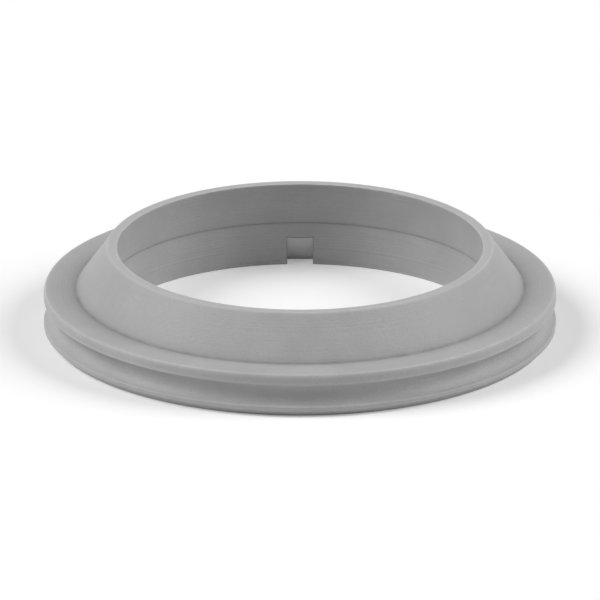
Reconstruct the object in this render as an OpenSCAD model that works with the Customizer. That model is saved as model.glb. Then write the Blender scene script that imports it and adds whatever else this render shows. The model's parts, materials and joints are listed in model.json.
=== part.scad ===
// Wiper seal for the rod of a hydraulic cylinder: one moulded ring.
// The origin is the centre of the heel's flat lower face, and +Z points to the wiping lip.
// The whole ring is one section, turned about Z, with vent notches cut into its lower inner edge.

/* [Rod and housing] */
// Diameter of the rod that runs through the ring
rod_d = 38.1; // [25:0.1:80]
// Radial room between the rod and the wall of the housing, which the heel fills
section_w = 6.35; // [5.4:0.05:9]
// Gap all round between the rod and the bore of the heel
rod_gap = 0.1; // [0.04:0.02:0.4]

/* [Heel] */
// Height of the heel, from its lower face to its shoulder
heel_h = 4.45; // [4.2:0.05:8]
// Height of the straight bore, up to where the inside starts to lean in
bore_h = 4.4; // [3.2:0.05:6]
// Size of the 45 degree chamfer round the lower outer edge
chamfer = 0.7; // [0.3:0.05:1.2]
// Radius of the lead-in round the upper outer edge
lead_r = 0.7; // [0.5:0.05:1.2]
// Height of that lead-in, which ends in an edge at the shoulder
lead_h = 0.45; // [0.2:0.05:0.6]

/* [Outer groove] */
// Height of the plain land between the chamfer and the groove
land_h = 0.4; // [0.2:0.05:0.6]
// Width of the groove where it opens on the outside of the heel
groove_w = 2.3; // [1.2:0.05:2.4]
// Depth of the groove, less than half of its width
groove_depth = 0.8; // [0.3:0.05:1.1]

/* [Wiping lip] */
// Height of the lip above the shoulder
lip_h = 4.35; // [2.5:0.05:7]
// Width of the flat shoulder outside the lip
shoulder_w = 3.2; // [1.5:0.05:4.2]
// Width of the flat rim at the top of the lip
rim_w = 1; // [0.4:0.05:1.6]
// How far the wiping edge stands inside the rod's surface while the ring is free
squeeze = 0.9; // [0.4:0.05:1.4]

/* [Vent notches] */
// Number of notches round the lower inner edge
notch_count = 4; // [2:1:12]
// Width of a notch, between its parallel sides
notch_w = 2.55; // [1:0.05:5]
// Height of a notch on the bore
notch_h = 2.8; // [1:0.05:3]
// Depth of a notch on the lower face, outwards from the bore
notch_depth = 1.5; // [0.6:0.05:2.6]

/* [Edges] */
// Radius of the moulded outside edges, apart from the wiping edge
edge_r = 0.12; // [0.05:0.01:0.2]
// Radius of the fillet where the lip stands on the shoulder
root_r = 0.2; // [0.1:0.05:0.5]

/* [Hidden] */
$fn = 180;
SEAL_GREY = [0.62, 0.62, 0.62];
OVERSIZE = 1; // how far a cutter stands out of what it cuts

rod_r = rod_d / 2;
bore_r = rod_r + rod_gap;
heel_r = rod_r + section_w;
wipe_r = rod_r - squeeze;
rim_r = wipe_r + rim_w;
root_x = heel_r - shoulder_w;
total_h = heel_h + lip_h;

// The groove is part of a circle, set by its width and its depth
groove_r = (pow(groove_w / 2, 2) + pow(groove_depth, 2)) / (2 * groove_depth);
groove_x = heel_r - groove_depth + groove_r;
groove_z = chamfer + land_h + groove_w / 2;

// Corners of the section, as [radius, height]
BORE_FOOT = [bore_r, 0];
CHAMFER_FOOT = [heel_r - chamfer, 0];
CHAMFER_TOP = [heel_r, chamfer];
SHOULDER_EDGE = [heel_r, heel_h];
LIP_ROOT = [root_x, heel_h];
RIM_OUTSIDE = [rim_r, total_h];
WIPING_EDGE = [wipe_r, total_h];
BORE_TOP = [bore_r, bore_h];

function unit(v) = v / norm(v);

// How far along each side a round of radius r starts, at the corner between the unit vectors u and v
function round_reach(u, v, r) = r * sqrt((1 + u * v) / (1 - u * v));

// What lies between a corner and the arc of radius r that touches both of its sides
module corner_piece(corner, before, after, r) {
    u = unit(before - corner);
    v = unit(after - corner);
    reach = round_reach(u, v, r);
    centre = corner + unit(u + v) * norm([reach, r]);
    difference() {
        polygon([corner, corner + u * reach, centre, corner + v * reach]);
        translate(centre) circle(r);
    }
}

// What the lead-in takes off the upper outer edge of the heel
module lead_in() {
    difference() {
        translate([heel_r - lead_r, heel_h - lead_h]) square([lead_r + OVERSIZE, lead_h + OVERSIZE]);
        translate([heel_r - lead_r, heel_h - lead_h]) circle(lead_r);
    }
}

// One side of the ring's section, in the plane of radius and height
module section() {
    difference() {
        polygon([
            BORE_FOOT, CHAMFER_FOOT, CHAMFER_TOP, SHOULDER_EDGE,
            LIP_ROOT, RIM_OUTSIDE, WIPING_EDGE, BORE_TOP
        ]);
        translate([groove_x, groove_z]) circle(groove_r);
        lead_in();
        corner_piece(BORE_FOOT, BORE_TOP, CHAMFER_FOOT, edge_r);
        corner_piece(CHAMFER_FOOT, BORE_FOOT, CHAMFER_TOP, edge_r);
        corner_piece(CHAMFER_TOP, CHAMFER_FOOT, SHOULDER_EDGE, edge_r);
        corner_piece(RIM_OUTSIDE, LIP_ROOT, WIPING_EDGE, edge_r);
    }
    corner_piece(LIP_ROOT, SHOULDER_EDGE, RIM_OUTSIDE, root_r);
}

// Cutter for one vent notch: it leans out from the bore down to the lower face
module notch() {
    slope = notch_depth / notch_h;
    inside = bore_r - OVERSIZE;
    rotate([90, 0, 0]) linear_extrude(notch_w, center = true) polygon([
        [inside, -OVERSIZE],
        [bore_r + notch_depth + slope * OVERSIZE, -OVERSIZE],
        [inside, notch_h + OVERSIZE / slope]
    ]);
}

module wiper_seal() {
    color(SEAL_GREY) difference() {
        rotate_extrude() section();
        for (i = [0 : notch_count - 1]) rotate(i * 360 / notch_count) notch();
    }
}

wiper_seal();
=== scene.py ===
# Looks of a moulded wiper seal for a hydraulic cylinder's rod.
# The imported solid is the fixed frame. The ring shown here stands where it stands, at the same size,
# with its edges softened as a mould leaves them and its elastomer finished with nodes.

import json
import math

import bmesh
import bpy
from bpy.props import FloatProperty, FloatVectorProperty, IntProperty, PointerProperty
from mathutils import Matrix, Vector


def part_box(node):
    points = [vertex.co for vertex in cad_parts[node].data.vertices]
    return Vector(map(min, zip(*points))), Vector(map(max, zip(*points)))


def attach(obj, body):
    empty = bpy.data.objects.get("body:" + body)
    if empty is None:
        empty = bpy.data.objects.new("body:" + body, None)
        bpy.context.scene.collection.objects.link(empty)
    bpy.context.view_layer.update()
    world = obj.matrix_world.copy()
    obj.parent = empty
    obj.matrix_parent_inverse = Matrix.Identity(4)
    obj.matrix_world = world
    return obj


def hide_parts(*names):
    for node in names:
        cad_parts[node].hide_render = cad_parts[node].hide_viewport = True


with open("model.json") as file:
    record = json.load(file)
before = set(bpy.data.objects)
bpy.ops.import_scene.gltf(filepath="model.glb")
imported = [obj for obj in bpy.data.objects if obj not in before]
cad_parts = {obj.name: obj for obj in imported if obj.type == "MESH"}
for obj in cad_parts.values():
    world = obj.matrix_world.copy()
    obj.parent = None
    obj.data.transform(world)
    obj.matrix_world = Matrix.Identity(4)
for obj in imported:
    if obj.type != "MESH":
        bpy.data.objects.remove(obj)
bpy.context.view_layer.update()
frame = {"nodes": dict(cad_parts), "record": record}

bl_info = {
    "name": "Wiper Seal",
    "version": (1, 0, 0),
    "blender": (4, 5, 0),
    "location": "3D View > Sidebar > Wiper Seal",
    "description": "Builds a moulded wiper seal round its packed solid, and a plain stage for it",
    "category": "Object",
}

MM = 0.001
WHITE = (1.0, 1.0, 1.0, 1.0)
SEAL_NODE = "wiper_seal"
RING_NAME = "wiper_ring"

# What the frame says of the ring: its mounts give the sizes that fit other parts, its solid two more
MOUNTS = {mount["name"]: mount for mount in frame["record"]["mounts"]}
BORE_RADIUS = MOUNTS["rod_bore"]["dims"]["r_mm"] * MM
HEEL_RADIUS = MOUNTS["housing_seat"]["dims"]["r_mm"] * MM
SHOULDER_HEIGHT = MOUNTS["shoulder_face"]["pos_m"][2]
RING_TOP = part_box(SEAL_NODE)[1].z
WIPING_RADIUS = min(vertex.co.xy.length for vertex in frame["nodes"][SEAL_NODE].data.vertices)


def length(name, description, default, high=1.0):
    """A length in metres, as a user would set it."""
    return FloatProperty(name=name, description=description, default=default, min=0.0, max=high,
                         precision=5, unit="LENGTH", subtype="DISTANCE")


def number(name, description, default, high=1.0):
    """A plain number with no unit."""
    return FloatProperty(name=name, description=description, default=default, min=0.0, max=high)


def angle(name, description, degrees):
    """An angle, whose default is given in degrees."""
    return FloatProperty(name=name, description=description, default=math.radians(degrees),
                         subtype="ANGLE", unit="ROTATION")


def grey(name, description, level):
    """A colour that starts as a neutral grey."""
    return FloatVectorProperty(name=name, description=description, default=(level, level, level),
                               min=0.0, max=1.0, size=3, subtype="COLOR")


class WiperSealSizes(bpy.types.PropertyGroup):
    """Sizes of the ring's section and notches."""

    heel_radius: length("Outside radius", "Radius of the heel where the housing grips it", HEEL_RADIUS)
    bore_radius: length("Bore radius", "Radius of the straight bore that the rod runs in", BORE_RADIUS)
    wiping_radius: length("Wiping radius", "Radius of the sharp edge at the lip's top", WIPING_RADIUS)
    shoulder_height: length("Shoulder height", "Height of the flat shoulder", SHOULDER_HEIGHT)
    ring_height: length("Ring height", "Height of the lip's rim", RING_TOP)
    bore_height: length("Bore height", "Height of the straight bore", 4.4 * MM)
    chamfer: length("Chamfer", "Chamfer round the heel's lower edge", 0.7 * MM)
    lead_radius: length("Lead-in radius", "Radius of the heel's upper outer edge", 0.7 * MM)
    lead_height: length("Lead-in height", "Height of that round below the shoulder", 0.45 * MM)
    land_height: length("Land height", "Plain land between the chamfer and the groove", 0.4 * MM)
    groove_width: length("Groove width", "Width of the outer groove", 2.3 * MM)
    groove_depth: length("Groove depth", "Depth of the outer groove", 0.8 * MM)
    shoulder_width: length("Shoulder width", "Width of the flat shoulder outside the lip", 3.2 * MM)
    rim_width: length("Rim width", "Width of the flat rim at the lip's top", 1.0 * MM)
    notch_count: IntProperty(name="Notches", description="Vent notches round the bore", default=4, min=2)
    notch_width: length("Notch width", "Width of a vent notch", 2.55 * MM)
    notch_height: length("Notch height", "Height of a vent notch on the bore", 2.8 * MM)
    notch_depth: length("Notch depth", "Depth of a vent notch on the lower face", 1.5 * MM)
    edge_radius: length("Edge radius", "Radius of the moulded outside edges", 0.12 * MM)
    crest_radius: length("Crest radius", "Radius of the groove's and the lead-in's edges", 0.06 * MM)
    root_radius: length("Root radius", "Fillet where the lip stands on the shoulder", 0.2 * MM)
    wiping_edge_radius: length("Wiping edge radius", "How sharp the wiping edge is", 0.02 * MM)
    notch_edge: length("Notch edge", "Width of the softened edges of the notches", 0.08 * MM)


class WiperSealFinish(bpy.types.PropertyGroup):
    """Colour and surface of the elastomer."""

    colour: grey("Elastomer", "Colour of the moulded elastomer", 0.4)
    # Pale edges: partly rubbing wear, partly a painted highlight along the edges that stand out
    rubbed_and_highlit: grey("Rubbed edge", "Colour of an edge that handling has polished", 0.5)
    # Painted shade: the dark colour laid into the creases, the lip's root and along the notches' edges
    painted_shade: grey("Recess", "Colour where mould dust stays in a recess", 0.22)
    # Painted light: the notches are paler than the elastomer so that their bases, which face down into the
    # ring's own shade, read lighter
    notch: grey("Notch", "Colour of the notches, which nothing rubs", 0.64)
    reflection: number("Reflection", "How strongly the elastomer reflects", 0.32)
    roughness: number("Roughness", "Roughness of the moulded faces", 0.52)
    core_roughness: number("Core roughness", "Roughness of the faces that the mould's core forms", 0.45)
    grain_size: length("Grain size", "Size of the mould's blasted grain", 0.24 * MM)
    grain_depth: length("Grain depth", "Depth of that grain", 0.035 * MM)
    mark_pitch: length("Mark pitch", "Spacing of the fine lines turned into the mould", 0.24 * MM)
    mark_depth: length("Mark depth", "Depth of those lines", 0.026 * MM)
    patch_size: length("Patch size", "Size of the soft clouds in the colour", 5.0 * MM)


class WiperSealStage(bpy.types.PropertyGroup):
    """Floor, lamps and camera."""

    azimuth: angle("Azimuth", "Where the camera stands, 0 looks along +Y", 0)
    elevation: angle("Elevation", "Height of the camera above the horizon", 20)
    distance: length("Distance", "How far the camera stands from the point it looks at", 0.5)
    view_width: length("View width", "Width that the flat-on camera takes in", 59.5 * MM)
    aim_height: length("Aim height", "Height on the ring's axis that the camera looks at", 3.2 * MM)
    floor_size: length("Floor size", "Length of the floor's sides", 3.0, high=10.0)
    floor_grey: grey("Floor", "Colour of the floor", 0.8)
    floor_lift: number("Floor lift", "White added to the floor where the camera sees it", 0.24)
    sky: number("Sky", "Strength of the even light from all round", 0.1, high=10.0)
    left_lamp: number("Left lamp", "Light of the left lamp where it falls square on", 2.25, high=100.0)
    left_azimuth: angle("Left azimuth", "Where the left lamp stands, 0 is before the ring", -82)
    left_elevation: angle("Left elevation", "Height of the left lamp above the horizon", 42)
    right_lamp: number("Right lamp", "Light of the right lamp where it falls square on", 2.0, high=100.0)
    right_azimuth: angle("Right azimuth", "Where the right lamp stands, 0 is before the ring", 86)
    right_elevation: angle("Right elevation", "Height of the right lamp above the horizon", 36)
    softness: angle("Softness", "How wide each lamp looks from the ring", 40)


# The ring's section

ARC_STEP = math.radians(18)
FEWEST_ARC_STEPS = 2
GROOVE_STEPS = 16
LEAD_IN_STEPS = 4
LONGEST_STEP = 0.6 * MM
SHORTEST_CUT_SIDE = 0.3 * MM
# How far from a corner its side is cut, as long as that is within this share of the side
CUTS_NEAR_CORNER = (0.05 * MM, 0.12 * MM, 0.24 * MM, 0.45 * MM)
SHARE_NEAR_CORNER = 1 / 3


def turned(vector, turn):
    """A vector in the plane of the section, turned by an angle."""
    cosine, sine = math.cos(turn), math.sin(turn)
    return Vector((vector.x * cosine - vector.y * sine, vector.x * sine + vector.y * cosine))


def rounded(before, corner, after, radius):
    """The arc of that radius at a corner, from the side towards before to the side towards after."""
    if radius <= 0:
        return [corner]
    to_before = (before - corner).normalized()
    to_after = (after - corner).normalized()
    opening = to_before.angle(to_after)
    reach = radius / math.tan(opening / 2)
    centre = corner + (to_before + to_after).normalized() * (radius / math.sin(opening / 2))
    start = corner + to_before * reach - centre
    turn = math.pi - opening
    if start.cross(corner + to_after * reach - centre) < 0:
        turn = -turn
    steps = max(FEWEST_ARC_STEPS, math.ceil(abs(turn) / ARC_STEP))
    return [centre + turned(start, turn * i / steps) for i in range(steps + 1)]


def circle_arc(centre, radius, first, last, steps):
    """Points on a circle from one angle to another, with one at each end."""
    start = Vector((radius, 0))
    return [centre + turned(start, first + (last - first) * i / steps) for i in range(steps + 1)]


def groove_points(sizes):
    """The outer groove's arc, from its lower edge to its upper edge."""
    half = sizes.groove_width / 2
    radius = (half ** 2 + sizes.groove_depth ** 2) / (2 * sizes.groove_depth)
    centre = Vector((sizes.heel_radius - sizes.groove_depth + radius,
                     sizes.chamfer + sizes.land_height + half))
    spread = math.asin(half / radius)
    return circle_arc(centre, radius, math.pi + spread, math.pi - spread, GROOVE_STEPS)


def lead_in_points(sizes):
    """The round at the heel's upper outer edge, from the heel's side to the shoulder."""
    centre = Vector((sizes.heel_radius - sizes.lead_radius, sizes.shoulder_height - sizes.lead_height))
    rise = math.asin(sizes.lead_height / sizes.lead_radius)
    return circle_arc(centre, sizes.lead_radius, 0.0, rise, LEAD_IN_STEPS)


def outer_corners(sizes):
    """The section's corners from the heel's face round the outside to the bore: (point, radius, kind)."""
    groove = groove_points(sizes)
    lead_in = lead_in_points(sizes)
    crest, edge = sizes.crest_radius, sizes.edge_radius
    root = sizes.heel_radius - sizes.shoulder_width
    corners = [
        (Vector((sizes.heel_radius - sizes.chamfer, 0)), edge, "crest"),
        (Vector((sizes.heel_radius, sizes.chamfer)), edge, "crest"),
        (groove[0], crest, "crest"),
    ]
    corners += [(point, 0.0, "") for point in groove[1:-1]]
    corners += [(groove[-1], crest, "crest")]
    corners += [(point, 0.0, "") for point in lead_in[:-1]]
    corners += [
        (lead_in[-1], crest, "crest"),
        (Vector((root, sizes.shoulder_height)), sizes.root_radius, "recess"),
        (Vector((sizes.wiping_radius + sizes.rim_width, sizes.ring_height)), edge, "crest"),
        (Vector((sizes.wiping_radius, sizes.ring_height)), sizes.wiping_edge_radius, "crest"),
        (Vector((sizes.bore_radius, sizes.bore_height)), 0.0, "crease"),
    ]
    return corners


def side_cuts(side, near_start, near_end):
    """Where a straight side is cut, as shares of its length: closely near those ends, evenly between."""
    if side < SHORTEST_CUT_SIDE:
        return [1.0]
    near = [cut for cut in CUTS_NEAR_CORNER if cut < side * SHARE_NEAR_CORNER]
    first = near if near_start else []
    last = near if near_end else []
    start, end = max(first, default=0.0), side - max(last, default=0.0)
    steps = math.ceil((end - start) / LONGEST_STEP)
    places = first + [start + (end - start) * i / steps for i in range(1, steps + 1)]
    places += [side - cut for cut in reversed(last[:-1])]
    if last:
        places.append(side)
    return [place / side for place in places]


def cuts_along(points):
    """The cuts of every side of a line of points, with none close to the line's own two ends."""
    sides = [(end - start).length for start, end in zip(points, points[1:])]
    return [side_cuts(side, i > 0, i < len(sides) - 1) for i, side in enumerate(sides)]


def subdivided(points, cuts):
    """The same line of points, with each side cut at its own shares."""
    made = [points[0]]
    for start, end, shares in zip(points, points[1:], cuts):
        made += [start.lerp(end, way) for way in shares]
    return made


class Section:
    """The ring's section as it stands at one distance sideways from a notch's middle line.

    outer runs from the notch's foot on the lower face, round the outside and the lip, to the notch's
    top on the bore. corner closes it over the heel's lower inner edge, and sloped closes it along a
    notch's base. The three share their two ends, and corner has as many points as sloped. A section
    that takes another's cuts has as many points as that one."""

    def __init__(self, sizes, sideways, cuts=None):
        foot = Vector((math.hypot(sizes.bore_radius + sizes.notch_depth, sideways), 0))
        inward = sizes.bore_radius + sizes.notch_depth - math.sqrt(sizes.bore_radius ** 2 - sideways ** 2)
        top = Vector((sizes.bore_radius, inward * sizes.notch_height / sizes.notch_depth))
        corners = outer_corners(sizes)
        places = [foot] + [place for place, _, _ in corners] + [top]
        rounds = []
        for i, (place, radius, _) in enumerate(corners, 1):
            rounds += rounded(places[i - 1], place, places[i + 1], radius)
        lower = Vector((sizes.bore_radius, 0))
        outer = [foot] + rounds + [top]
        corner = [top] + rounded(top, lower, foot, sizes.edge_radius) + [foot]
        self.cuts = cuts or (cuts_along(outer), cuts_along(corner))
        self.outer = subdivided(outer, self.cuts[0])
        self.corner = subdivided(corner, self.cuts[1])[1:-1]
        self.top, self.foot = top, foot
        self.crests = [place for place, _, kind in corners if kind == "crest"] + [lower]
        self.recesses = [place for place, _, kind in corners if kind == "recess"]
        self.creases = [place for place, _, kind in corners if kind == "crease"]
        self.sideways = sideways

    def sloped(self):
        """Points along a notch's base, each (distance out along the notch's middle line, height)."""
        line = [self.top] + self.corner + [self.foot]
        steps = [(b - a).length for a, b in zip(line, line[1:])]
        start = Vector((math.sqrt(self.top.x ** 2 - self.sideways ** 2), self.top.y))
        end = Vector((math.sqrt(self.foot.x ** 2 - self.sideways ** 2), self.foot.y))
        return [start.lerp(end, sum(steps[:i]) / sum(steps)) for i in range(1, len(steps))]


# The ring's mesh

STEPS_ACROSS_NOTCH = 8
STEPS_BESIDE_NOTCH = 3
STEPS_BETWEEN_NOTCHES = 84
STEP_AT_NOTCH = 0.13 * MM
MARGIN_BESIDE_NOTCH = 0.8 * MM
NOTCH_EDGE_STEPS = 3
ROUND_PROFILE = 0.5
TOUCHING = 0.001 * MM
CRISP_ANGLE = math.radians(35)
FACING_INWARDS = -0.9
CREST_REACH = 0.12 * MM
RECESS_REACH = 0.3 * MM
CREASE_REACH = 0.1 * MM
# Painted shade laid along the notches' rounded edges as a dark line
NOTCH_EDGE_SHADE = 0.9
MATERIAL_MOULDED, MATERIAL_CORE, MATERIAL_RIM, MATERIAL_NOTCH = range(4)


def in_plane(distance, sideways, height, turn):
    """A point that far out from the axis along a notch's middle line, and that far sideways of it."""
    cosine, sine = math.cos(turn), math.sin(turn)
    return Vector((distance * cosine - sideways * sine, distance * sine + sideways * cosine, height))


def nearness(point, places, reach):
    """1 at the nearest of the places, and less with distance."""
    return math.exp(-min((point - place).length for place in places) / reach)


class RingMesh:
    """Builds the ring station by station round its axis, with each notch cut to its true flat sides."""

    def __init__(self, sizes):
        self.sizes = sizes
        self.bm = bmesh.new()
        self.crest = self.bm.verts.layers.float.new("crest")
        self.recess = self.bm.verts.layers.float.new("recess")
        self.edge_of_notch = sizes.notch_width / 2
        self.clear_of_notch = self.edge_of_notch + MARGIN_BESIDE_NOTCH
        self.plain = Section(sizes, self.edge_of_notch)

    def vertex(self, place, point, section):
        """One vertex, with how near the section's point is to an edge that stands out or to a recess."""
        made = self.bm.verts.new(place)
        made[self.crest] = nearness(point, section.crests, CREST_REACH)
        # Nearness to a recess or crease sets where painted shade darkens the colour
        made[self.recess] = max(nearness(point, section.recesses, RECESS_REACH),
                                nearness(point, section.creases, CREASE_REACH))
        return made

    def line(self, section, points, place):
        """The vertices of a line of the section's points."""
        return [self.vertex(place(point), point, section) for point in points]

    def beside_notch(self, turn, sideways):
        """A station at a distance sideways of a notch's middle line, inside the notch or beside it."""
        inside = abs(sideways) < self.edge_of_notch + TOUCHING
        outside = abs(sideways) > self.edge_of_notch - TOUCHING
        section = Section(self.sizes, abs(sideways), self.plain.cuts) if inside else self.plain

        def place(point):
            return in_plane(math.sqrt(point.x ** 2 - sideways ** 2), sideways, point.y, turn)

        def place_on_base(point):
            return in_plane(point.x, sideways, point.y, turn)

        station = {"outer": self.line(section, section.outer, place)}
        if outside:
            station["corner"] = self.line(section, section.corner, place)
        if inside:
            station["sloped"] = self.line(section, section.sloped(), place_on_base)
        return station

    def between_notches(self, turn, next_turn, share_of_way):
        """A station between two notches, whose lines turn evenly from one notch's side to the next's."""

        def place(point):
            side = math.asin(self.clear_of_notch / point.x)
            way = turn + side + (next_turn - turn - 2 * side) * share_of_way
            return Vector((point.x * math.cos(way), point.x * math.sin(way), point.y))

        return {"outer": self.line(self.plain, self.plain.outer, place),
                "corner": self.line(self.plain, self.plain.corner, place)}

    def stations(self):
        """Every station, in order round the axis."""
        edge, clear = self.edge_of_notch, self.clear_of_notch
        inside, outside = edge - STEP_AT_NOTCH, edge + STEP_AT_NOTCH
        across = [-inside + 2 * inside * i / STEPS_ACROSS_NOTCH for i in range(STEPS_ACROSS_NOTCH + 1)]
        margin = clear - outside
        beside = [outside + margin * i / STEPS_BESIDE_NOTCH for i in range(STEPS_BESIDE_NOTCH + 1)]
        sideways = [-y for y in reversed(beside)] + [-edge] + across + [edge] + beside
        pitch = 2 * math.pi / self.sizes.notch_count
        made = []
        for i in range(self.sizes.notch_count):
            made += [self.beside_notch(i * pitch, y) for y in sideways]
            made += [self.between_notches(i * pitch, (i + 1) * pitch, k / STEPS_BETWEEN_NOTCHES)
                     for k in range(1, STEPS_BETWEEN_NOTCHES)]
        return made

    def skin(self, station, following):
        """The faces between two stations, along the notch's base where both have one."""
        closing = "sloped" if "sloped" in station and "sloped" in following else "corner"
        here = station["outer"] + station[closing]
        there = following["outer"] + following[closing]
        for i in range(len(here)):
            face = self.bm.faces.new((here[i - 1], here[i], there[i], there[i - 1]))
            if closing == "sloped" and not 0 < i < len(station["outer"]):
                face.material_index = MATERIAL_NOTCH

    def notch_side(self, station):
        """The flat wall at a notch's side, between the heel's corner and the notch's base."""
        foot, top = station["outer"][0], station["outer"][-1]
        corner = [top] + station["corner"] + [foot]
        sloped = [top] + station["sloped"] + [foot]
        for i in range(1, len(corner)):
            wall = [corner[i - 1], corner[i], sloped[i], sloped[i - 1]]
            # The two lines share their end vertices, so the first and last faces are triangles
            face = self.bm.faces.new(list(dict.fromkeys(wall)))
            face.material_index = MATERIAL_NOTCH

    def soften_notches(self):
        """Rounds the edges of the notches, and lays painted shade along them as a dark line."""
        rims = [edge for edge in self.bm.edges
                if len({face.material_index == MATERIAL_NOTCH for face in edge.link_faces}) == 2]
        made = bmesh.ops.bevel(self.bm, geom=rims, offset=self.sizes.notch_edge, affect="EDGES",
                               segments=NOTCH_EDGE_STEPS, profile=ROUND_PROFILE, clamp_overlap=True)
        strips = set(made["faces"])
        for vertex in made["verts"]:
            vertex[self.crest] = 0.0
            if strips.issuperset(vertex.link_faces):
                vertex[self.recess] = NOTCH_EDGE_SHADE

    def at_break(self, vertex):
        """Whether a vertex lies on the line where the lip leaves the bore."""
        return (abs(vertex.co.z - self.sizes.bore_height) < TOUCHING
                and abs(vertex.co.xy.length - self.sizes.bore_radius) < TOUCHING)

    def mark_sharp(self):
        """Keeps the corners inside the notches crisp, and the line where the lip leaves the bore."""
        for edge in self.bm.edges:
            on_break = all(self.at_break(vertex) for vertex in edge.verts)
            edge.smooth = not (on_break or edge.calc_face_angle(0.0) > CRISP_ANGLE)

    def sort_faces(self):
        """Gives each face the material of what forms it in the mould, apart from the notches' own faces."""
        for face in self.bm.faces:
            face.smooth = True
            if face.material_index == MATERIAL_NOTCH:
                continue
            middle = face.calc_center_median()
            outwards = Vector((middle.x, middle.y, 0)).normalized()
            inside = middle.xy.length < self.sizes.bore_radius + TOUCHING
            if middle.z > self.sizes.ring_height - TOUCHING:
                face.material_index = MATERIAL_RIM
            elif inside and face.normal.dot(outwards) < FACING_INWARDS:
                face.material_index = MATERIAL_CORE
            else:
                face.material_index = MATERIAL_MOULDED

    def build(self, name):
        """The finished mesh, with its sharp edges and materials told apart."""
        stations = self.stations()
        for station, following in zip(stations, stations[1:] + stations[:1]):
            self.skin(station, following)
        for station in stations:
            if "corner" in station and "sloped" in station:
                self.notch_side(station)
        bmesh.ops.recalc_face_normals(self.bm, faces=self.bm.faces)
        self.soften_notches()
        self.mark_sharp()
        self.sort_faces()
        mesh = bpy.data.meshes.new(name)
        self.bm.to_mesh(mesh)
        self.bm.free()
        return mesh


# Nodes

COLUMN_WIDTH = 200
ROW_HEIGHT = 200
# A Mix node's sockets when it blends colours
MIX_AMOUNT, MIX_FIRST, MIX_SECOND, MIX_RESULT = 0, 6, 7, 2
# What a group takes for a size until a material gives it one
UNSET_SIZE = 1.0 * MM


def add_node(tree, kind, column, row, inputs=None, **settings):
    """A node with its settings. Each input named takes a value, or a link if it is given a socket."""
    node = tree.nodes.new(kind)
    node.location = (column * COLUMN_WIDTH, -row * ROW_HEIGHT)
    for name, value in settings.items():
        setattr(node, name, value)
    for socket, value in (inputs or {}).items():
        if isinstance(value, bpy.types.NodeSocket):
            tree.links.new(value, node.inputs[socket])
        else:
            node.inputs[socket].default_value = value
    return node


def new_group(name, inputs, outputs):
    """A shader node group whose outputs are numbers: (group, what its inputs give inside it).

    An input is a number with its default, or a place where the default is None."""
    tree = bpy.data.node_groups.new(name, "ShaderNodeTree")
    for socket, default in inputs.items():
        kind = "NodeSocketVector" if default is None else "NodeSocketFloat"
        made = tree.interface.new_socket(name=socket, in_out="INPUT", socket_type=kind)
        if default is not None:
            made.default_value = default
    for socket in outputs:
        tree.interface.new_socket(name=socket, in_out="OUTPUT", socket_type="NodeSocketFloat")
    return tree, add_node(tree, "NodeGroupInput", 0, 0).outputs


def new_material(name):
    """A material with an empty node tree."""
    material = bpy.data.materials.new(name)
    material.use_nodes = True
    material.node_tree.nodes.clear()
    return material


# The elastomer's finish

PIT_SMOOTHNESS = 0.6
PIT_SHARE = 0.5
RIPPLE_SCALE = 0.7
RIPPLE_DETAIL = 3.0
MARK_DETAIL = 2.0
CLOUD_DETAIL = 4.0
CLOUD_ROUGHNESS = 0.55
CLOUD_RANGE = (0.3, 0.7)
# These settings break up both the pale worn and highlit edges and the painted shade in recesses
WEAR_AND_SHADE_DETAIL = 3.0
WEAR_AND_SHADE_RANGE = (0.25, 0.7)
LEAST_WEAR_AND_SHADE = 0.6
WEAR_AND_SHADE_SHARE_OF_PATCH = 0.25
LIGHTEST_PATCH = 1.12
DARKEST_PATCH = 0.95
ROUGHNESS_SPREAD = 0.08
RUBBED_SMOOTHER = 0.12
CORE_GRAIN_SHARE = 1 / 3
CORE_MARK_SHARE = 1.5


def scaled_place(tree, given):
    """The place divided by the group's size, so that a texture's features come out at that size."""
    per_size = add_node(tree, "ShaderNodeMath", 1, 0, {0: 1.0, 1: given["Size"]}, operation="DIVIDE")
    scaled = add_node(tree, "ShaderNodeVectorMath", 2, 0,
                      {0: given["Place"], "Scale": per_size.outputs[0]}, operation="SCALE")
    return scaled.outputs[0]


def blasted_grain_group():
    """The fine uneven grain that a blasted mould leaves, as a height."""
    tree, given = new_group("Blasted grain", {"Place": None, "Size": UNSET_SIZE}, ["Height"])
    place = scaled_place(tree, given)
    pits = add_node(tree, "ShaderNodeTexVoronoi", 3, 0,
                    {"Vector": place, "Scale": 1.0, "Smoothness": PIT_SMOOTHNESS}, feature="SMOOTH_F1")
    ripple = add_node(tree, "ShaderNodeTexNoise", 3, 2,
                      {"Vector": place, "Scale": RIPPLE_SCALE, "Detail": RIPPLE_DETAIL})
    both = add_node(tree, "ShaderNodeMath", 4, 0,
                    {0: pits.outputs["Distance"], 1: PIT_SHARE, 2: ripple.outputs["Fac"]},
                    operation="MULTIPLY_ADD")
    add_node(tree, "NodeGroupOutput", 5, 0, {"Height": both.outputs[0]})
    return tree


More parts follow.
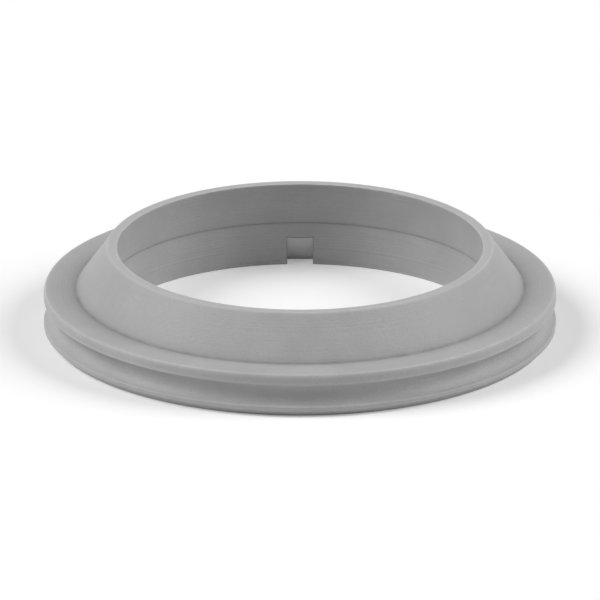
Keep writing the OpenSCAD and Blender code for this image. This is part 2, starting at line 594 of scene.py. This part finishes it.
def turning_marks_group():
    """The faint lines round the ring that a turned mould leaves, as a height.

    They follow radius less height, which changes along every face of the section but the chamfer."""
    tree, given = new_group("Turning marks", {"Place": None, "Pitch": UNSET_SIZE}, ["Height"])
    parts = add_node(tree, "ShaderNodeSeparateXYZ", 1, 0, {0: given["Place"]})
    flat = add_node(tree, "ShaderNodeCombineXYZ", 2, 0, {"X": parts.outputs["X"], "Y": parts.outputs["Y"]})
    radius = add_node(tree, "ShaderNodeVectorMath", 3, 0, {0: flat.outputs[0]}, operation="LENGTH")
    along = add_node(tree, "ShaderNodeMath", 4, 0, {0: radius.outputs["Value"], 1: parts.outputs["Z"]},
                     operation="SUBTRACT")
    lines = add_node(tree, "ShaderNodeMath", 5, 0, {0: along.outputs[0], 1: given["Pitch"]},
                     operation="DIVIDE")
    noise = add_node(tree, "ShaderNodeTexNoise", 6, 0,
                     {"W": lines.outputs[0], "Scale": 1.0, "Detail": MARK_DETAIL}, noise_dimensions="1D")
    add_node(tree, "NodeGroupOutput", 7, 0, {"Height": noise.outputs["Fac"]})
    return tree


def clouds_group():
    """Soft clouds from 0 to 1, for a colour or a gloss that isn't quite even."""
    tree, given = new_group("Soft clouds", {"Place": None, "Size": UNSET_SIZE}, ["Cloud"])
    noise = add_node(tree, "ShaderNodeTexNoise", 3, 0,
                     {"Vector": scaled_place(tree, given), "Scale": 1.0, "Detail": CLOUD_DETAIL,
                      "Roughness": CLOUD_ROUGHNESS})
    low, high = CLOUD_RANGE
    spread = add_node(tree, "ShaderNodeMapRange", 4, 0,
                      {"Value": noise.outputs["Fac"], "From Min": low, "From Max": high})
    add_node(tree, "NodeGroupOutput", 5, 0, {"Cloud": spread.outputs["Result"]})
    return tree


def wear_and_shade_group():
    """How pale an edge is made, partly as rubbing wear and partly as a painted highlight, and how dark a
    recess is made with painted shade, both broken up unevenly.
    """
    tree, given = new_group("Wear and painted shade",
                            {"Place": None, "Size": UNSET_SIZE, "Crest": 0.0, "Recess": 0.0},
                            ["Rubbed and highlit", "Painted shade"])
    noise = add_node(tree, "ShaderNodeTexNoise", 3, 0,
                     {"Vector": scaled_place(tree, given), "Scale": 1.0, "Detail": WEAR_AND_SHADE_DETAIL})
    low, high = WEAR_AND_SHADE_RANGE
    uneven = add_node(tree, "ShaderNodeMapRange", 4, 0,
                      {"Value": noise.outputs["Fac"], "From Min": low, "From Max": high,
                       "To Min": LEAST_WEAR_AND_SHADE})
    rubbed_and_highlit = add_node(tree, "ShaderNodeMath", 5, 0, {0: given["Crest"], 1: uneven.outputs["Result"]},
                      operation="MULTIPLY")
    painted_shade = add_node(tree, "ShaderNodeMath", 5, 1, {0: given["Recess"], 1: uneven.outputs["Result"]},
                     operation="MULTIPLY")
    add_node(tree, "NodeGroupOutput", 6, 0, {"Rubbed and highlit": rubbed_and_highlit.outputs[0], "Painted shade": painted_shade.outputs[0]})
    return tree


def blended(tree, column, row, first, second, amount):
    """A colour that goes from the first to the second as amount goes from 0 to 1."""
    mix = add_node(tree, "ShaderNodeMix", column, row,
                   {MIX_AMOUNT: amount, MIX_FIRST: first, MIX_SECOND: second}, data_type="RGBA")
    return mix.outputs[MIX_RESULT]


def elastomer(name, finish, groups, colour, roughness, grain=1.0, marks=1.0):
    """Moulded elastomer: grain and marks say how much of the mould's two textures stands on this face."""
    material = new_material(name)
    tree = material.node_tree
    place = add_node(tree, "ShaderNodeTexCoord", 0, 1).outputs["Object"]
    crest = add_node(tree, "ShaderNodeAttribute", 0, 3, attribute_name="crest").outputs["Fac"]
    recess = add_node(tree, "ShaderNodeAttribute", 0, 4, attribute_name="recess").outputs["Fac"]
    clouds = add_node(tree, "ShaderNodeGroup", 1, 0, node_tree=groups["clouds"],
                      inputs={"Place": place, "Size": finish.patch_size}).outputs["Cloud"]
    fine_grain = add_node(tree, "ShaderNodeGroup", 1, 1, node_tree=groups["grain"],
                          inputs={"Place": place, "Size": finish.grain_size}).outputs["Height"]
    fine_marks = add_node(tree, "ShaderNodeGroup", 1, 2, node_tree=groups["marks"],
                          inputs={"Place": place, "Pitch": finish.mark_pitch}).outputs["Height"]
    wear_and_shade = add_node(tree, "ShaderNodeGroup", 1, 3, node_tree=groups["wear_and_shade"],
                    inputs={"Place": place, "Size": finish.patch_size * WEAR_AND_SHADE_SHARE_OF_PATCH,
                            "Crest": crest, "Recess": recess}).outputs

    light = [level * LIGHTEST_PATCH for level in colour]
    dark = [level * DARKEST_PATCH for level in colour]
    speckled = add_node(tree, "ShaderNodeMath", 2, 0, {0: clouds, 1: fine_grain}, operation="MULTIPLY")
    body = blended(tree, 3, 0, (*dark, 1.0), (*light, 1.0), speckled.outputs[0])
    # Painted shade darkens the recesses and creases, and the pale edges stand for rubbing wear and a
    # painted highlight
    with_painted_shade = blended(tree, 4, 0, body, (*finish.painted_shade, 1.0), wear_and_shade["Painted shade"])
    base = blended(tree, 5, 0, with_painted_shade, (*finish.rubbed_and_highlit, 1.0), wear_and_shade["Rubbed and highlit"])

    gloss = add_node(tree, "ShaderNodeMapRange", 4, 1,
                     {"Value": clouds, "To Min": roughness - ROUGHNESS_SPREAD,
                      "To Max": roughness + ROUGHNESS_SPREAD})
    polished = add_node(tree, "ShaderNodeMath", 5, 1,
                        {0: wear_and_shade["Rubbed and highlit"], 1: -RUBBED_SMOOTHER, 2: gloss.outputs["Result"]},
                        operation="MULTIPLY_ADD")

    grain_bump = add_node(tree, "ShaderNodeBump", 4, 3,
                          {"Height": fine_grain, "Distance": finish.grain_depth * grain})
    mark_bump = add_node(tree, "ShaderNodeBump", 5, 3,
                         {"Height": fine_marks, "Distance": finish.mark_depth * marks,
                          "Normal": grain_bump.outputs[0]})
    shader = add_node(tree, "ShaderNodeBsdfPrincipled", 6, 0,
                      {"Base Color": base, "Roughness": polished.outputs[0],
                       "Normal": mark_bump.outputs[0], "Specular IOR Level": finish.reflection})
    add_node(tree, "ShaderNodeOutputMaterial", 8, 0, {"Surface": shader.outputs[0]})
    return material


def seal_materials(finish):
    """The four finishes of the one elastomer, in the order of the mesh's material numbers.

    Inserts form the notches, so they have no turned lines."""
    groups = {"grain": blasted_grain_group(), "marks": turning_marks_group(),
              "clouds": clouds_group(), "wear_and_shade": wear_and_shade_group()}
    cored = {"roughness": finish.core_roughness, "grain": CORE_GRAIN_SHARE, "marks": CORE_MARK_SHARE}
    return [
        elastomer("Moulded elastomer", finish, groups, finish.colour, finish.roughness),
        elastomer("Core-formed elastomer", finish, groups, finish.colour, **cored),
        elastomer("Trimmed elastomer", finish, groups, finish.colour, **cored),
        # The notches' paler colour is painted light on bases that sit in the ring's own shade
        elastomer("Notch elastomer", finish, groups, finish.notch, finish.roughness, marks=0.0),
    ]


class WIPER_SEAL_OT_add_ring(bpy.types.Operator):
    """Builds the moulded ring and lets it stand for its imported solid"""

    bl_idname = "wiper_seal.add_ring"
    bl_label = "Add Ring"

    def execute(self, context):
        mesh = RingMesh(context.scene.wiper_seal_sizes).build(RING_NAME)
        for material in seal_materials(context.scene.wiper_seal_finish):
            mesh.materials.append(material)
        ring = bpy.data.objects.new(RING_NAME, mesh)
        context.scene.collection.objects.link(ring)
        even = ring.modifiers.new("Even shading", "WEIGHTED_NORMAL")
        even.keep_sharp = True
        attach(ring, "root")
        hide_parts(SEAL_NODE)
        return {"FINISHED"}


# The stage

NEAREST_SEEN = 0.01
FARTHEST_SEEN = 10.0


def seen_by_camera(tree):
    """1 for what the camera sees straight, mirrored or through glass, and 0 for what only lights things."""
    path = add_node(tree, "ShaderNodeLightPath", 0, 0)
    either = path.outputs["Is Camera Ray"]
    for column, kind in enumerate(("Is Glossy Ray", "Is Transmission Ray"), 1):
        most = add_node(tree, "ShaderNodeMath", column, 0, {0: either, 1: path.outputs[kind]},
                        operation="MAXIMUM")
        either = most.outputs[0]
    return either


def floor_material(stage):
    """A matt pale floor that keeps the shadow and goes white in the camera's eye."""
    material = new_material("Pale floor")
    tree = material.node_tree
    lift = add_node(tree, "ShaderNodeMath", 3, 0, {0: seen_by_camera(tree), 1: stage.floor_lift},
                    operation="MULTIPLY")
    white = add_node(tree, "ShaderNodeEmission", 4, 0, {"Strength": lift.outputs[0]})
    matt = add_node(tree, "ShaderNodeBsdfDiffuse", 4, 1, {"Color": (*stage.floor_grey, 1.0)})
    both = add_node(tree, "ShaderNodeAddShader", 5, 0, {0: matt.outputs[0], 1: white.outputs[0]})
    add_node(tree, "ShaderNodeOutputMaterial", 6, 0, {"Surface": both.outputs[0]})
    return material


def add_floor(stage):
    """A square floor at the height the ring stands on."""
    bm = bmesh.new()
    bmesh.ops.create_grid(bm, x_segments=1, y_segments=1, size=stage.floor_size / 2)
    mesh = bpy.data.meshes.new("floor")
    bm.to_mesh(mesh)
    bm.free()
    mesh.materials.append(floor_material(stage))
    floor = bpy.data.objects.new("floor", mesh)
    floor.location.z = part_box(SEAL_NODE)[0].z
    bpy.context.scene.collection.objects.link(floor)


def towards(azimuth, elevation):
    """The direction from the ring to something at those angles, where azimuth 0 is at the front."""
    flat = math.cos(elevation)
    return Vector((math.sin(azimuth) * flat, -math.cos(azimuth) * flat, math.sin(elevation)))


def add_lamp(name, direction, strength, softness):
    """A wide far-off lamp in that direction, which lights the ring and the floor evenly."""
    light = bpy.data.lights.new(name, "SUN")
    light.energy = strength
    light.angle = softness
    lamp = bpy.data.objects.new(name, light)
    lamp.location = direction
    lamp.rotation_euler = direction.to_track_quat("Z", "Y").to_euler()
    bpy.context.scene.collection.objects.link(lamp)


def set_sky(stage):
    """Even light from all round, and white where the camera looks past the floor."""
    world = bpy.data.worlds.new("Even sky")
    world.use_nodes = True
    tree = world.node_tree
    tree.nodes.clear()
    strength = add_node(tree, "ShaderNodeMapRange", 3, 0,
                        {"Value": seen_by_camera(tree), "To Min": stage.sky, "To Max": 1.0})
    background = add_node(tree, "ShaderNodeBackground", 4, 0,
                          {"Color": WHITE, "Strength": strength.outputs["Result"]})
    add_node(tree, "ShaderNodeOutputWorld", 5, 0, {"Surface": background.outputs[0]})
    bpy.context.scene.world = world


def add_camera(stage):
    """A flat-on camera at the drawing's own angle."""
    data = bpy.data.cameras.new("camera")
    data.type = "ORTHO"
    data.ortho_scale = stage.view_width
    data.clip_start = NEAREST_SEEN
    data.clip_end = FARTHEST_SEEN
    camera = bpy.data.objects.new("camera", data)
    back = towards(stage.azimuth, stage.elevation)
    camera.location = Vector((0, 0, stage.aim_height)) + back * stage.distance
    camera.rotation_euler = back.to_track_quat("Z", "Y").to_euler()
    bpy.context.scene.collection.objects.link(camera)
    bpy.context.scene.camera = camera


class WIPER_SEAL_OT_set_stage(bpy.types.Operator):
    """Adds the pale floor, the soft lamps, the even sky and the camera"""

    bl_idname = "wiper_seal.set_stage"
    bl_label = "Set Stage"

    def execute(self, context):
        stage = context.scene.wiper_seal_stage
        context.scene.view_settings.view_transform = "Standard"
        add_floor(stage)
        left = towards(stage.left_azimuth, stage.left_elevation)
        right = towards(stage.right_azimuth, stage.right_elevation)
        add_lamp("left_lamp", left, stage.left_lamp, stage.softness)
        add_lamp("right_lamp", right, stage.right_lamp, stage.softness)
        set_sky(stage)
        add_camera(stage)
        return {"FINISHED"}


class WIPER_SEAL_PT_sidebar(bpy.types.Panel):
    """Sizes, finish and stage of the wiper seal"""

    bl_idname = "WIPER_SEAL_PT_sidebar"
    bl_label = "Wiper Seal"
    bl_space_type = "VIEW_3D"
    bl_region_type = "UI"
    bl_category = "Wiper Seal"

    def draw(self, context):
        scene = context.scene
        rows = (
            (WIPER_SEAL_OT_add_ring, (scene.wiper_seal_sizes, scene.wiper_seal_finish)),
            (WIPER_SEAL_OT_set_stage, (scene.wiper_seal_stage,)),
        )
        for operator, groups in rows:
            box = self.layout.box()
            box.operator(operator.bl_idname)
            for group in groups:
                for name in group.__annotations__:
                    box.prop(group, name)


CLASSES = (WiperSealSizes, WiperSealFinish, WiperSealStage,
           WIPER_SEAL_OT_add_ring, WIPER_SEAL_OT_set_stage, WIPER_SEAL_PT_sidebar)


def register():
    """Makes the classes and the scene's settings known to Blender."""
    for entry in CLASSES:
        bpy.utils.register_class(entry)
    bpy.types.Scene.wiper_seal_sizes = PointerProperty(type=WiperSealSizes)
    bpy.types.Scene.wiper_seal_finish = PointerProperty(type=WiperSealFinish)
    bpy.types.Scene.wiper_seal_stage = PointerProperty(type=WiperSealStage)


def unregister():
    """Takes them out again."""
    del bpy.types.Scene.wiper_seal_stage
    del bpy.types.Scene.wiper_seal_finish
    del bpy.types.Scene.wiper_seal_sizes
    for entry in reversed(CLASSES):
        bpy.utils.unregister_class(entry)


def main():
    """Builds the ring and its stage."""
    register()
    bpy.ops.wiper_seal.add_ring()
    bpy.ops.wiper_seal.set_stage()


if __name__ == "__main__":
    main()
